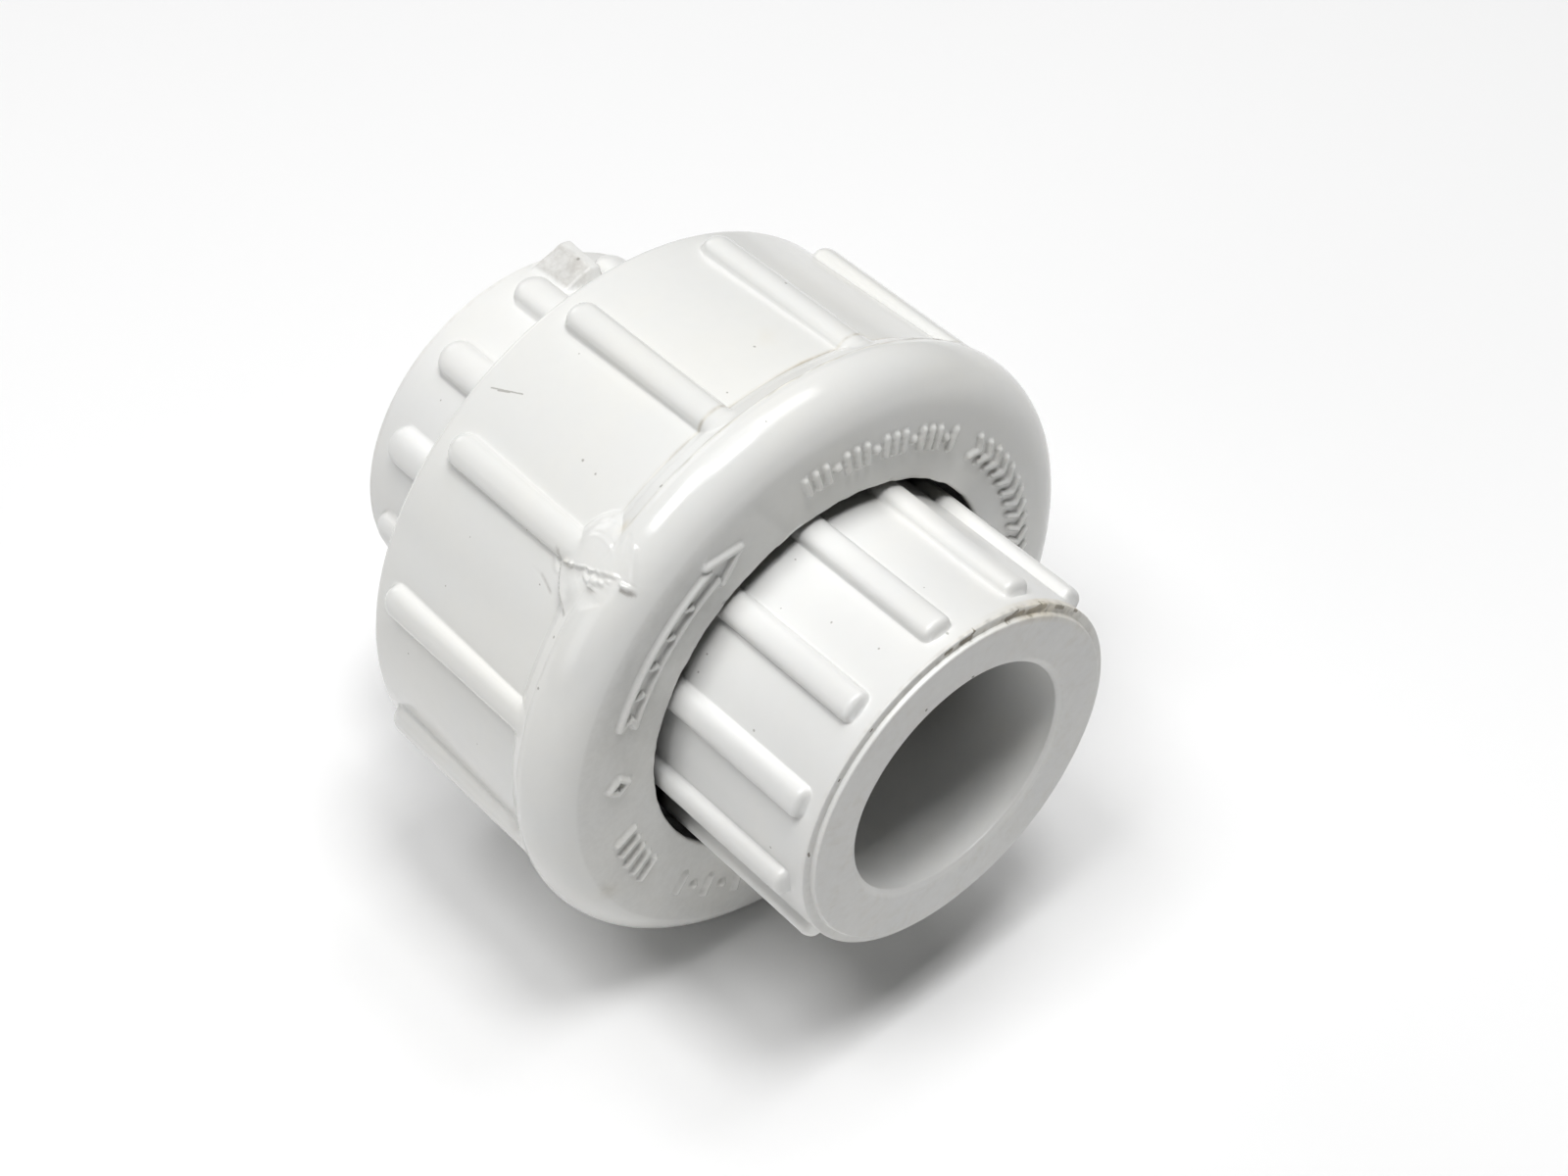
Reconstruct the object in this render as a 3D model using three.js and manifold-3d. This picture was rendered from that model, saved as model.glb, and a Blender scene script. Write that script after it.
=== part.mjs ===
// Pipe union for half-inch solvent-weld PVC pipe: a threaded body, a tail piece,
// a union nut that draws the two together, and an O-ring between their faces.
// Millimetres. +X runs along the pipe axis towards the tail piece, +Z is up.
// The origin is on the pipe axis, midway between the two hub faces.
// "Front" is the +X side of a part and "rear" its -X side. Angles round the
// axis run from +Y towards +Z.
import * as THREE from "three";
import { mergeVertices } from "three/addons/utils/BufferGeometryUtils.js";
import Module from "manifold-3d";

const { degToRad, lerp } = THREE.MathUtils;

// ---- driving dimensions (R is a radius, X a place along the axis) ----------
const LENGTH = 56.35; // face to face
const TAIL_FACE = LENGTH / 2;
const REAR_FACE = -LENGTH / 2;

// pipe sockets (half-inch iron-pipe-size taper socket) and waterway
const SOCKET_MOUTH_R = 10.77;
const SOCKET_FLOOR_R = 10.6;
const SOCKET_LEAD = 0.4; // chamfer at the mouth, along the axis
const SOCKET_FLARE = 0.8; // and across it
const TAIL_SOCKET_DEPTH = 19.8;
const BODY_SOCKET_DEPTH = 22.2;
const WATERWAY_R = 7.9;
const WATERWAY_EDGE = 0.3; // chamfer where the waterway meets the mating faces

// hub ends, the same on both pieces
const END_STEP = 0.45; // the end face stands proud of the hub's rim
const END_RIM = 0.8; // width of that rim
const END_EDGE = 0.12;

// tail piece
const TAIL_HUB_R = 16.24;
const COLLAR_R = 21.4;
const COLLAR_REAR = 3.95; // sealing face
const COLLAR_FRONT = 7.85;
const COLLAR_EDGE = 0.3;

// O-ring, squeezed along the axis and spread across it, and its groove
const RING_SECTION = 3.53; // unsqueezed
const RING_BORE = 23.39; // unsqueezed
const RING_MEAN_R = (RING_BORE + RING_SECTION) / 2;
const RING_HALF_WIDTH = 2.18; // across the axis
const RING_REAR = 3.83;
const RING_FRONT = 6.68;
const GROOVE_FLOOR = 6.75;
const GROOVE_INNER_R = 11.15;
const GROOVE_OUTER_R = 15.85;

// threaded body
const REAR_HUB_R = 16.7;
const BARREL_REAR = -12.0; // step from the hub to the threaded barrel
const BARREL_REAR_EDGE = 0.3;
const BARREL_FRONT = 3.75;
const BARREL_FRONT_EDGE = 0.5;

// Thread, right-hand, 8 threads per inch. Each ridge grows from its wall to its
// crest; startX is the centre of the ridge where it starts.
const PITCH = 25.4 / 8;
const MALE_RIDGE = {
  wallR: 21.5,
  wallWidth: 1.9,
  crestR: 23.1,
  crestWidth: 0.9,
  startX: -8.2,
  turns: 3.25,
};
const FEMALE_WALL_R = 23.4;
const FEMALE_CREST_R = 21.8;
const FEMALE_TURNS = 3;
const FLANK_GAP = 0.25; // along the axis, each side
const THREAD_FADE = 1 / 6; // of a turn, at each end
const RIDGE_ROOT = 0.3; // how far a ridge is sunk into its wall

// union nut
const NUT_REAR = -13.265;
const NUT_FRONT = 12.235;
const NUT_REAR_R = 26.65;
const NUT_REAR_EDGE = 0.55; // size of the two-facet outer rear edge
const NUT_REAR_EDGE_MID = 0.16; // inset of its middle point, both ways
const NUT_MOUTH_EDGE = 0.6;
const NUT_CREASE = 5.75; // where the ribbed skirt meets the shoulder's rear slope
const NUT_CREASE_R = 27.05;
const NUT_SLOPE_RUN = 0.85; // from the crease to the bend in the slope
const NUT_SLOPE_RISE = 0.62;
const NUT_PARTING = 7.75; // mould parting line, where the slope reaches the shoulder
const NUT_PARTING_DROP = 0.12; // below the shoulder
const NUT_SHOULDER_R = 28.3;
const NUT_ROUND = 3.9; // rounding of the shoulder into the front face
const NUT_ROUND_STEPS = [90, 72, 54, 36, 18, 0]; // degrees
const NUT_HOLE_R = 17.95;
const NUT_HOLE_EDGE = 0.2;
const NUT_LIP = 8.1; // inner face of the lip

// Grip ribs, twelve on each piece: ends along X, half width, radii of the foot
// and crest, bevel round the top, and angle of the first rib in degrees.
const RIB_COUNT = 12;
const RIB_SINK = 0.7;
const NUT_RIB = {
  rear: -11.2,
  front: 8.0,
  half: 1.4,
  foot: 26.9,
  crest: 28.05,
  bevel: 0.45,
  angle: 12.3,
  roundedEnd: "rear",
};
const TAIL_RIB = {
  rear: 7.0,
  front: 26.2,
  half: 1.35,
  foot: TAIL_HUB_R,
  crest: 17.4,
  bevel: 0.4,
  angle: 4.6,
  roundedEnd: "front",
};
const BODY_RIB = {
  rear: -25.7,
  front: -11.6,
  half: 1.7,
  foot: REAR_HUB_R,
  crest: 17.95,
  bevel: 0.5,
  angle: 1.0,
  roundedEnd: "rear",
};

// Trimmed gate stubs left by moulding: place along X, angle in degrees, the
// stub's own radius, and the distances of its two ends from the pipe axis.
const NUT_GATE = { x: 6.7, angle: 132, stubR: 2.9, foot: 26.0, top: 28.35 };
const BODY_GATE = { x: -24.3, angle: 76, stubR: 2.1, foot: 16.0, top: 18.7 };

const SEGMENTS = 48; // round the axis, and in each turn of thread
const RING_SECTION_POINTS = 12;
const RIB_ARC_SEGMENTS = 4;
const STUB_SEGMENTS = 20;
const WELD_TOLERANCE = 1e-4;

// ---- solids ----------------------------------------------------------------
const wasm = await Module();
wasm.setup();

// A manifold from a closed geometry, turned right side out if need be.
function solid(geometry) {
  geometry.deleteAttribute("normal");
  geometry.deleteAttribute("uv");
  const merged = mergeVertices(geometry, WELD_TOLERANCE);
  const vertProperties = merged.attributes.position.array;
  const triVerts = new Uint32Array(merged.index.array);
  const build = () => new wasm.Manifold(new wasm.Mesh({ numProp: 3, vertProperties, triVerts }));
  const first = build();
  if (first.volume() >= 0) return first;
  for (let i = 0; i < triVerts.length; i += 3) {
    [triVerts[i + 1], triVerts[i + 2]] = [triVerts[i + 2], triVerts[i + 1]];
  }
  return build();
}

// A closed profile of [x, radius] points turned round the pipe axis.
function turned(profile) {
  const points = [...profile, profile[0]].map(([x, radius]) => new THREE.Vector2(radius, x));
  const geometry = new THREE.LatheGeometry(points, SEGMENTS);
  geometry.rotateZ(-Math.PI / 2);
  return solid(geometry);
}

// A straight bar of trapezoid section, wrapped round the axis as a right-hand
// helix. The ridge grows out of its wall and dies back into it at its ends.
function ridge({ wallR, wallWidth, crestR, crestWidth, startX, turns }) {
  const rootR = wallR - Math.sign(crestR - wallR) * RIDGE_ROOT;
  const slope = (wallWidth - crestWidth) / Math.abs(crestR - wallR);
  const rootWidth = wallWidth + slope * RIDGE_ROOT;
  // Across: distance along the axis. Up: 0 at the root, 1 at the crest.
  const section = new THREE.Shape([
    new THREE.Vector2(-rootWidth / 2, 0),
    new THREE.Vector2(rootWidth / 2, 0),
    new THREE.Vector2(crestWidth / 2, 1),
    new THREE.Vector2(-crestWidth / 2, 1),
  ]);
  const steps = Math.round(turns * SEGMENTS);
  const geometry = new THREE.ExtrudeGeometry(section, { depth: turns, steps, bevelEnabled: false });
  // At its very ends the ridge is only half as high as it is sunk.
  const endHeight = (0.5 * RIDGE_ROOT) / Math.abs(crestR - rootR);
  const position = geometry.attributes.position;
  for (let i = 0; i < position.count; i++) {
    const turn = position.getZ(i);
    const fade = Math.min(1, turn / THREAD_FADE, (turns - turn) / THREAD_FADE);
    const radius = rootR + (crestR - rootR) * position.getY(i) * lerp(endHeight, 1, fade);
    const angle = 2 * Math.PI * turn;
    const x = startX + PITCH * turn + position.getX(i);
    position.setXYZ(i, x, radius * Math.cos(angle), radius * Math.sin(angle));
  }
  return solid(geometry);
}

// A rib with one end rounded in plan and a bevelled top.
function rib({ rear, front, half, foot, crest, bevel, roundedEnd }, angle) {
  const plan = new THREE.Shape();
  if (roundedEnd === "rear") {
    plan.absarc(rear + half, 0, half, Math.PI / 2, 1.5 * Math.PI, false);
    plan.lineTo(front, -half);
    plan.lineTo(front, half);
  } else {
    plan.moveTo(rear, half);
    plan.lineTo(rear, -half);
    plan.absarc(front - half, 0, half, -Math.PI / 2, Math.PI / 2, false);
  }
  plan.closePath();
  const geometry = new THREE.ExtrudeGeometry(plan, {
    depth: crest - foot + RIB_SINK - 2 * bevel,
    steps: 1,
    curveSegments: RIB_ARC_SEGMENTS,
    bevelEnabled: true,
    bevelThickness: bevel,
    bevelSize: bevel,
    bevelOffset: -bevel,
    bevelSegments: 1,
  });
  geometry.translate(0, 0, foot - RIB_SINK + bevel);
  geometry.rotateX(degToRad(angle - 90));
  return solid(geometry);
}

function ribbed(piece, spec) {
  let result = piece;
  for (let k = 0; k < RIB_COUNT; k++) {
    result = result.add(rib(spec, spec.angle + (k * 360) / RIB_COUNT));
  }
  return result;
}

// A short round stub standing out from the wall.
function stub({ x, angle, stubR, foot, top }) {
  const geometry = new THREE.CylinderGeometry(stubR, stubR, top - foot, STUB_SEGMENTS);
  geometry.translate(0, (top + foot) / 2, 0);
  geometry.rotateX(degToRad(angle));
  geometry.translate(x, 0, 0);
  return solid(geometry);
}

// Profile of a hub's end, from the socket mouth out to the hub's wall.
// inward is +1 or -1, the way along X from the face into the hub.
function hubEnd(face, inward, hubR) {
  const step = face + inward * END_STEP;
  return [
    [face, SOCKET_MOUTH_R + SOCKET_FLARE],
    [face, hubR - END_RIM - END_EDGE],
    [face + inward * END_EDGE, hubR - END_RIM],
    [step, hubR - END_RIM],
    [step, hubR - END_EDGE],
    [step + inward * END_EDGE, hubR],
  ];
}

// Profile of a pipe socket, from the waterway back out to the mouth's chamfer.
function socket(face, inward, depth) {
  const floor = face + inward * depth;
  return [
    [floor, WATERWAY_R],
    [floor, SOCKET_FLOOR_R],
    [face + inward * SOCKET_LEAD, SOCKET_MOUTH_R],
  ];
}

// ---- the pieces ------------------------------------------------------------
function makeThreadedBody() {
  const barrelR = MALE_RIDGE.wallR;
  const shell = turned([
    ...hubEnd(REAR_FACE, 1, REAR_HUB_R),
    [BARREL_REAR, REAR_HUB_R],
    [BARREL_REAR, barrelR - BARREL_REAR_EDGE],
    [BARREL_REAR + BARREL_REAR_EDGE, barrelR],
    [BARREL_FRONT - BARREL_FRONT_EDGE, barrelR],
    [BARREL_FRONT, barrelR - BARREL_FRONT_EDGE],
    [BARREL_FRONT, WATERWAY_R + WATERWAY_EDGE],
    [BARREL_FRONT - WATERWAY_EDGE, WATERWAY_R],
    ...socket(REAR_FACE, 1, BODY_SOCKET_DEPTH),
  ]);
  return ribbed(shell, BODY_RIB).add(stub(BODY_GATE)).add(ridge(MALE_RIDGE));
}

function makeTailPiece() {
  const shell = turned([
    ...hubEnd(TAIL_FACE, -1, TAIL_HUB_R),
    [COLLAR_FRONT, TAIL_HUB_R],
    [COLLAR_FRONT, COLLAR_R - COLLAR_EDGE],
    [COLLAR_FRONT - COLLAR_EDGE, COLLAR_R],
    [COLLAR_REAR + COLLAR_EDGE, COLLAR_R],
    [COLLAR_REAR, COLLAR_R - COLLAR_EDGE],
    [COLLAR_REAR, GROOVE_OUTER_R],
    [GROOVE_FLOOR, GROOVE_OUTER_R],
    [GROOVE_FLOOR, GROOVE_INNER_R],
    [COLLAR_REAR, GROOVE_INNER_R],
    [COLLAR_REAR, WATERWAY_R + WATERWAY_EDGE],
    [COLLAR_REAR + WATERWAY_EDGE, WATERWAY_R],
    ...socket(TAIL_FACE, -1, TAIL_SOCKET_DEPTH),
  ]);
  return ribbed(shell, TAIL_RIB);
}

function makeORing() {
  const centre = (RING_REAR + RING_FRONT) / 2;
  const halfDepth = (RING_FRONT - RING_REAR) / 2;
  const profile = [];
  for (let i = 0; i < RING_SECTION_POINTS; i++) {
    const angle = (2 * Math.PI * i) / RING_SECTION_POINTS;
    profile.push([
      centre + halfDepth * Math.sin(angle),
      RING_MEAN_R + RING_HALF_WIDTH * Math.cos(angle),
    ]);
  }
  return turned(profile);
}

// Width left between two turns of the body's ridge, less the flank gaps.
function femaleWidth(radius) {
  const { wallR, wallWidth, crestR, crestWidth } = MALE_RIDGE;
  const slope = (wallWidth - crestWidth) / (crestR - wallR);
  return PITCH - (wallWidth - slope * (radius - wallR)) - 2 * FLANK_GAP;
}

function makeUnionNut() {
  const shoulderRound = NUT_ROUND_STEPS.map((degrees) => [
    NUT_FRONT - NUT_ROUND + NUT_ROUND * Math.cos(degToRad(degrees)),
    NUT_SHOULDER_R - NUT_ROUND + NUT_ROUND * Math.sin(degToRad(degrees)),
  ]);
  const shell = turned([
    [NUT_REAR, FEMALE_WALL_R + NUT_MOUTH_EDGE],
    [NUT_REAR, NUT_REAR_R - NUT_REAR_EDGE],
    [NUT_REAR + NUT_REAR_EDGE_MID, NUT_REAR_R - NUT_REAR_EDGE_MID],
    [NUT_REAR + NUT_REAR_EDGE, NUT_REAR_R],
    [NUT_CREASE, NUT_CREASE_R],
    [NUT_CREASE + NUT_SLOPE_RUN, NUT_CREASE_R + NUT_SLOPE_RISE],
    [NUT_PARTING, NUT_SHOULDER_R - NUT_PARTING_DROP],
    ...shoulderRound,
    [NUT_FRONT, NUT_HOLE_R + NUT_HOLE_EDGE],
    [NUT_FRONT - NUT_HOLE_EDGE, NUT_HOLE_R],
    [NUT_LIP, NUT_HOLE_R],
    [NUT_LIP, FEMALE_WALL_R],
    [NUT_REAR + NUT_MOUTH_EDGE, FEMALE_WALL_R],
  ]);
  const thread = ridge({
    wallR: FEMALE_WALL_R,
    wallWidth: femaleWidth(FEMALE_WALL_R),
    crestR: FEMALE_CREST_R,
    crestWidth: femaleWidth(FEMALE_CREST_R),
    startX: MALE_RIDGE.startX - PITCH / 2,
    turns: FEMALE_TURNS,
  });
  return ribbed(shell, NUT_RIB).add(stub(NUT_GATE)).add(thread);
}

// ---- the assembly ----------------------------------------------------------
function mesh(name, piece, { color, roughness }) {
  const { vertProperties, triVerts } = piece.getMesh();
  const geometry = new THREE.BufferGeometry();
  geometry.setAttribute("position", new THREE.BufferAttribute(vertProperties, 3));
  geometry.setIndex(new THREE.BufferAttribute(triVerts, 1));
  geometry.computeVertexNormals();
  const material = new THREE.MeshStandardMaterial({ color, roughness, metalness: 0 });
  const result = new THREE.Mesh(geometry, material);
  result.name = name;
  return result;
}

const BODY_PVC = { color: 0xf0f0ec, roughness: 0.42 };
const TAIL_PVC = { color: 0xefefeb, roughness: 0.42 };
const NUT_PVC = { color: 0xeeeeea, roughness: 0.36 };
const RUBBER = { color: 0x1c1c1c, roughness: 0.55 };

const group = new THREE.Group();
group.name = "pipe_union";
group.add(
  mesh("threaded_body", makeThreadedBody(), BODY_PVC),
  mesh("tail_piece", makeTailPiece(), TAIL_PVC),
  mesh("union_nut", makeUnionNut(), NUT_PVC),
  mesh("o_ring", makeORing(), RUBBER),
);

export default group;
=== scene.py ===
"""White PVC pipe union: a ribbed nut, a tail piece, a threaded body and a rubber O-ring.

All four share one pipe axis, X. The nut's marked face looks along +X, where the tail piece
comes out of it; the threaded body runs out along -X. Angles round the axis start at +Y and
pass through +Z, so 90 degrees is the top. Pieces are worked out in mm and built in metres.
"""
import math
from itertools import product
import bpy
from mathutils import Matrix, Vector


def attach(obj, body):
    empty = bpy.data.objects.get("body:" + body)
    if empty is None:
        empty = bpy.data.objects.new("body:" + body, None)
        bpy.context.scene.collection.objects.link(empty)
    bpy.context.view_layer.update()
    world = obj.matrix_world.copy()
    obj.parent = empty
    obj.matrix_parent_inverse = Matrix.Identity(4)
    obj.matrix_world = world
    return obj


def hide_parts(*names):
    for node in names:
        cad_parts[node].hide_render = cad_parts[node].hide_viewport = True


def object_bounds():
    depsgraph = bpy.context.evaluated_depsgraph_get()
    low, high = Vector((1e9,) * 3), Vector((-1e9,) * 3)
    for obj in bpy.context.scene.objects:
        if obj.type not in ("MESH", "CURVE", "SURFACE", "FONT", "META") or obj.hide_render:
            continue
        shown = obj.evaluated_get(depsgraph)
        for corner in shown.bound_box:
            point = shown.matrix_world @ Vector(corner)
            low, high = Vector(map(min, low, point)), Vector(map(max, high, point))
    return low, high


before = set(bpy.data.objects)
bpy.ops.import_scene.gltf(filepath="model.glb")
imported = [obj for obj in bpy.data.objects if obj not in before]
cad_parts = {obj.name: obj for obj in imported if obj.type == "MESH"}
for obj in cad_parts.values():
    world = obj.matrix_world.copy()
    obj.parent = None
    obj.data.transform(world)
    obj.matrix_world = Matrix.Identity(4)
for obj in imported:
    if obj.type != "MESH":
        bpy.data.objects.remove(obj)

from types import SimpleNamespace

import bpy
import numpy as np
from mathutils import Matrix, Vector

CAD_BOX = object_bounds()
MM = 0.001
TAU = 2 * math.pi

# Driving sizes, mm
END_X = 28.175  # outer ends of the tail piece and the threaded body
LIP_X = 27.74  # small step behind each of those ends
BORE_R = 7.9
SOCKET_R = 10.6
TAIL_HUB_R = 16.24
BODY_HUB_R = 16.7
COLLAR_R = 21.4  # flange of the tail piece, held inside the nut

FACE_X = 12.235  # front face of the nut
NUT_R, NUT_ROUND = 28.3, 3.9
NUT_HOLE_R = 17.95
NUT_BACK_X = -13.265

PITCH = 3.175
RIDGE_HEIGHT, RIDGE_FOOT, RIDGE_TOP = 1.6, 1.9, 0.9
RIDGE_FADE = 1 / 6  # turns over which a ridge runs out at each end
MALE_WALL_R, MALE_X0, MALE_TURNS = 21.5, -8.2, 3.25
FEMALE_WALL_R, FEMALE_TURNS = 23.4, 3.0
CLEARANCE = 0.5  # axial play between the two threads

GATE_X, GATE_DEG, GATE_R = 6.62, 132.0, 28.0  # sprue stub on the nut
STUB_X, STUB_DEG, STUB_R = -24.9, 75.0, 17.0  # sprue stub on the threaded body

# ---------------------------------------------------------------------------
# Noise, smooth joins and angles, on numpy arrays
# ---------------------------------------------------------------------------


def cell_hash(x, y, z, seed):
    """Repeatable value, 0 to 1, for each whole-numbered cell."""
    bits = (x * 374761393 + y * 668265263 + z * 1440662683 + seed * 974634777) & 0xFFFFFFFF
    bits = ((bits ^ (bits >> 13)) * 1274126177) & 0xFFFFFFFF
    bits = ((bits ^ (bits >> 16)) * 2246822519) & 0xFFFFFFFF
    return ((bits ^ (bits >> 15)) & 0xFFFFFF) / float(0xFFFFFF)


def noise(x, y, z, scale, seed):
    """Smooth value noise, -1 to 1, in cells 1 / scale wide."""
    places = np.broadcast_arrays(*(np.asarray(value, float) * scale for value in (x, y, z)))
    cells = [np.floor(place).astype(np.int64) for place in places]
    sides = []
    for place, cell in zip(places, cells):
        part = place - cell
        part = part * part * part * (part * (part * 6 - 15) + 10)
        sides.append(((0, 1 - part), (1, part)))
    total = 0.0
    for (step_x, share_x), (step_y, share_y), (step_z, share_z) in product(*sides):
        value = cell_hash(cells[0] + step_x, cells[1] + step_y, cells[2] + step_z, seed)
        total = total + share_x * share_y * share_z * value
    return total * 2 - 1


def layered(x, y, z, scale, seed, octaves=3):
    """Noise summed over octaves, each finer and half as strong."""
    total, strength, weight = 0.0, 1.0, 0.0
    for octave in range(octaves):
        finer = 2.03**octave
        layer = noise(x * scale, y * scale, z * scale, finer, seed + 17 * octave)
        total = total + strength * layer
        weight += strength
        strength *= 0.5
    return total / weight


def rise(start, end, value):
    """Smooth 0 to 1 as value goes from start to end."""
    part = np.clip((value - start) / (end - start), 0, 1)
    return part * part * (3 - 2 * part)


def bell(distance, width):
    return np.exp(-((distance / width) ** 2))


def soft_max(first, second, blend):
    near = np.clip(blend - np.abs(first - second), 0, None) / blend
    return np.maximum(first, second) + near * near * blend * 0.25


def soft_min(first, second, blend):
    return -soft_max(-first, -second, blend)


def wrap(angle):
    return (angle + math.pi) % TAU - math.pi


def turn_from(angle, degrees):
    """Signed turn, in radians, from a direction given in degrees."""
    return wrap(angle - math.radians(degrees))


def toward(angle, degrees):
    """1 facing the given direction, -1 facing away."""
    return np.cos(angle - math.radians(degrees))


# ---------------------------------------------------------------------------
# Turned bodies: a closed, filleted profile swept round the pipe axis, with a
# shape function that moves each point, and as many columns as each band needs
# ---------------------------------------------------------------------------

SUPPORT = 0.07  # mm to the extra row beside each fillet, so that flats shade flat
ARC_STEP = 13.0  # degrees of fillet per row, at most


def fillet_arc(before, corner, after, fillet):
    """Points that round a corner, or the corner itself where it stays sharp."""
    to_before, to_after = before - corner, after - corner
    length_before, length_after = np.linalg.norm(to_before), np.linalg.norm(to_after)
    to_before, to_after = to_before / length_before, to_after / length_after
    opening = math.acos(float(np.clip(to_before @ to_after, -1, 1)))
    if fillet <= 0 or math.pi - opening < 0.01:
        return [corner]
    cut = min(fillet / math.tan(opening / 2), 0.47 * length_before, 0.47 * length_after)
    fillet = cut * math.tan(opening / 2)
    start, end = corner + to_before * cut, corner + to_after * cut
    middle = to_before + to_after
    centre = corner + middle / np.linalg.norm(middle) * (fillet / math.sin(opening / 2))
    first = math.atan2(*(start - centre)[::-1])
    sweep = wrap(math.atan2(*(end - centre)[::-1]) - first)
    count = max(2, math.ceil(math.degrees(abs(sweep)) / ARC_STEP))
    turns = [first + sweep * j / count for j in range(count + 1)]
    return [centre + fillet * np.array([math.cos(t), math.sin(t)]) for t in turns]


def profile_rows(points):
    """Rows (x, radius) and their bands, from a closed polygon of
    (x, radius, fillet, row spacing after it, band), in mm."""
    count = len(points)
    corners = [np.array(point[:2], float) for point in points]
    arcs = [
        fillet_arc(corners[i - 1], corners[i], corners[(i + 1) % count], points[i][2])
        for i in range(count)
    ]
    rows, bands = [], []
    for i, (*_, spacing, band) in enumerate(points):
        next_arc = arcs[(i + 1) % count]
        rows += arcs[i]
        start, end = arcs[i][-1], next_arc[0]
        length = np.linalg.norm(end - start)
        lead = SUPPORT if len(arcs[i]) > 1 else 0.0
        tail_gap = SUPPORT if len(next_arc) > 1 else 0.0
        if length > 3 * (lead + tail_gap) and length > 0.02:
            inner = length - lead - tail_gap
            parts = max(1, math.ceil(inner / spacing))
            stops = [lead + inner * j / parts for j in range(parts + 1)]
            stops = [stop for stop in stops if 1e-6 < stop < length - 1e-6]
            rows += [start + (end - start) * stop / length for stop in stops]
        bands += [band] * (len(rows) - len(bands))
    rows = np.array(rows)
    keep = [j for j in range(len(rows)) if np.linalg.norm(rows[j] - rows[j - 1]) > 1e-4]
    return rows[keep], [bands[j] for j in keep]


def zipper(first_ids, first_angles, second_ids, second_angles):
    """Triangles between two rings with different columns."""
    faces, i, j = [], 0, 0
    first_count, second_count = len(first_angles), len(second_angles)

    def next_angle(angles, index):
        if index >= len(angles):
            return 1e9
        return angles[index + 1] if index + 1 < len(angles) else angles[0] + TAU

    while i < first_count or j < second_count:
        first, second = first_ids[i % first_count], second_ids[j % second_count]
        if next_angle(first_angles, i) <= next_angle(second_angles, j):
            faces.append((first, first_ids[(i + 1) % first_count], second))
            i += 1
        else:
            faces.append((first, second_ids[(j + 1) % second_count], second))
            j += 1
    return faces


def turned(name, points, columns, shape=None, masks=None):
    """Sweep a profile round the axis.

    columns: band -> angles. shape(x, radius, facing, angle, band) -> x, radius, where facing
    is the radial part of the outward normal. masks(moved, unmoved) -> attribute values;
    unmoved holds x, radius and angle before shaping."""
    rows, bands = profile_rows(points)
    count = len(rows)
    tangent = np.roll(rows, -1, 0) - np.roll(rows, 1, 0)
    tangent /= np.linalg.norm(tangent, axis=1)[:, None]
    area = 0.5 * np.sum(
        rows[:, 0] * np.roll(rows[:, 1], -1) - np.roll(rows[:, 0], -1) * rows[:, 1]
    )
    facing = -tangent[:, 0] * (1 if area > 0 else -1)
    moved, unmoved, rings, base = [], [], [], 0
    for k in range(count):
        angle = columns[bands[k]]
        x, radius = np.full(len(angle), rows[k, 0]), np.full(len(angle), rows[k, 1])
        unmoved.append(np.stack([x, radius, angle], 1))
        if shape:
            x, radius = shape(x, radius, facing[k], angle, bands[k])
        moved.append(np.stack([x, radius * np.cos(angle), radius * np.sin(angle)], 1))
        rings.append(np.arange(base, base + len(angle)))
        base += len(angle)
    moved, unmoved = np.concatenate(moved), np.concatenate(unmoved)

    quads, triangles = [], []
    for k in range(count):
        after = (k + 1) % count
        here, there = rings[k], rings[after]
        if bands[k] == bands[after]:
            quads.append(np.stack([here, np.roll(here, -1), np.roll(there, -1), there], 1))
        else:
            triangles += zipper(here, columns[bands[k]], there, columns[bands[after]])
    quads = np.concatenate(quads)
    triangles = np.array(triangles, int).reshape(-1, 3)
    # a negative enclosed volume means the faces look inward
    every = np.concatenate([quads[:, [0, 1, 2]], quads[:, [0, 2, 3]], triangles])
    first, second, third = (moved[every[:, j]] for j in range(3))
    if np.sum(np.einsum("ij,ij->i", first, np.cross(second, third))) < 0:
        quads, triangles = quads[:, ::-1], triangles[:, ::-1]

    mesh = bpy.data.meshes.new(name)
    mesh.from_pydata((moved * MM).tolist(), [], quads.tolist() + triangles.tolist())
    mesh.polygons.foreach_set("use_smooth", [True] * len(mesh.polygons))
    mesh.update()
    for key, values in (masks(moved, unmoved) if masks else {}).items():
        attribute = mesh.attributes.new(key, "FLOAT", "POINT")
        attribute.data.foreach_set("value", values.astype(np.float32))
    piece = bpy.data.objects.new(name, mesh)
    bpy.context.scene.collection.objects.link(piece)
    return piece


def merge_angles(*sets):
    """Sorted angles in 0 to a full turn, merged, with near-doubles dropped."""
    merged = np.sort(np.concatenate([np.asarray(values, float) % TAU for values in sets]))
    keep = [merged[0]]
    for value in merged[1:]:
        if value - keep[-1] > 1.2e-3:
            keep.append(value)
    if keep[0] + TAU - keep[-1] < 1.2e-3:
        keep.pop()
    return np.array(keep)


def even(count):
    return np.arange(count) / count * TAU


# ---------------------------------------------------------------------------
# Grip ribs
# ---------------------------------------------------------------------------

RIB_COUNT = 12
RIB_PITCH = TAU / RIB_COUNT
RIB_FALL = 3.2  # slope with which the field drops away outside a rib

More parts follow.
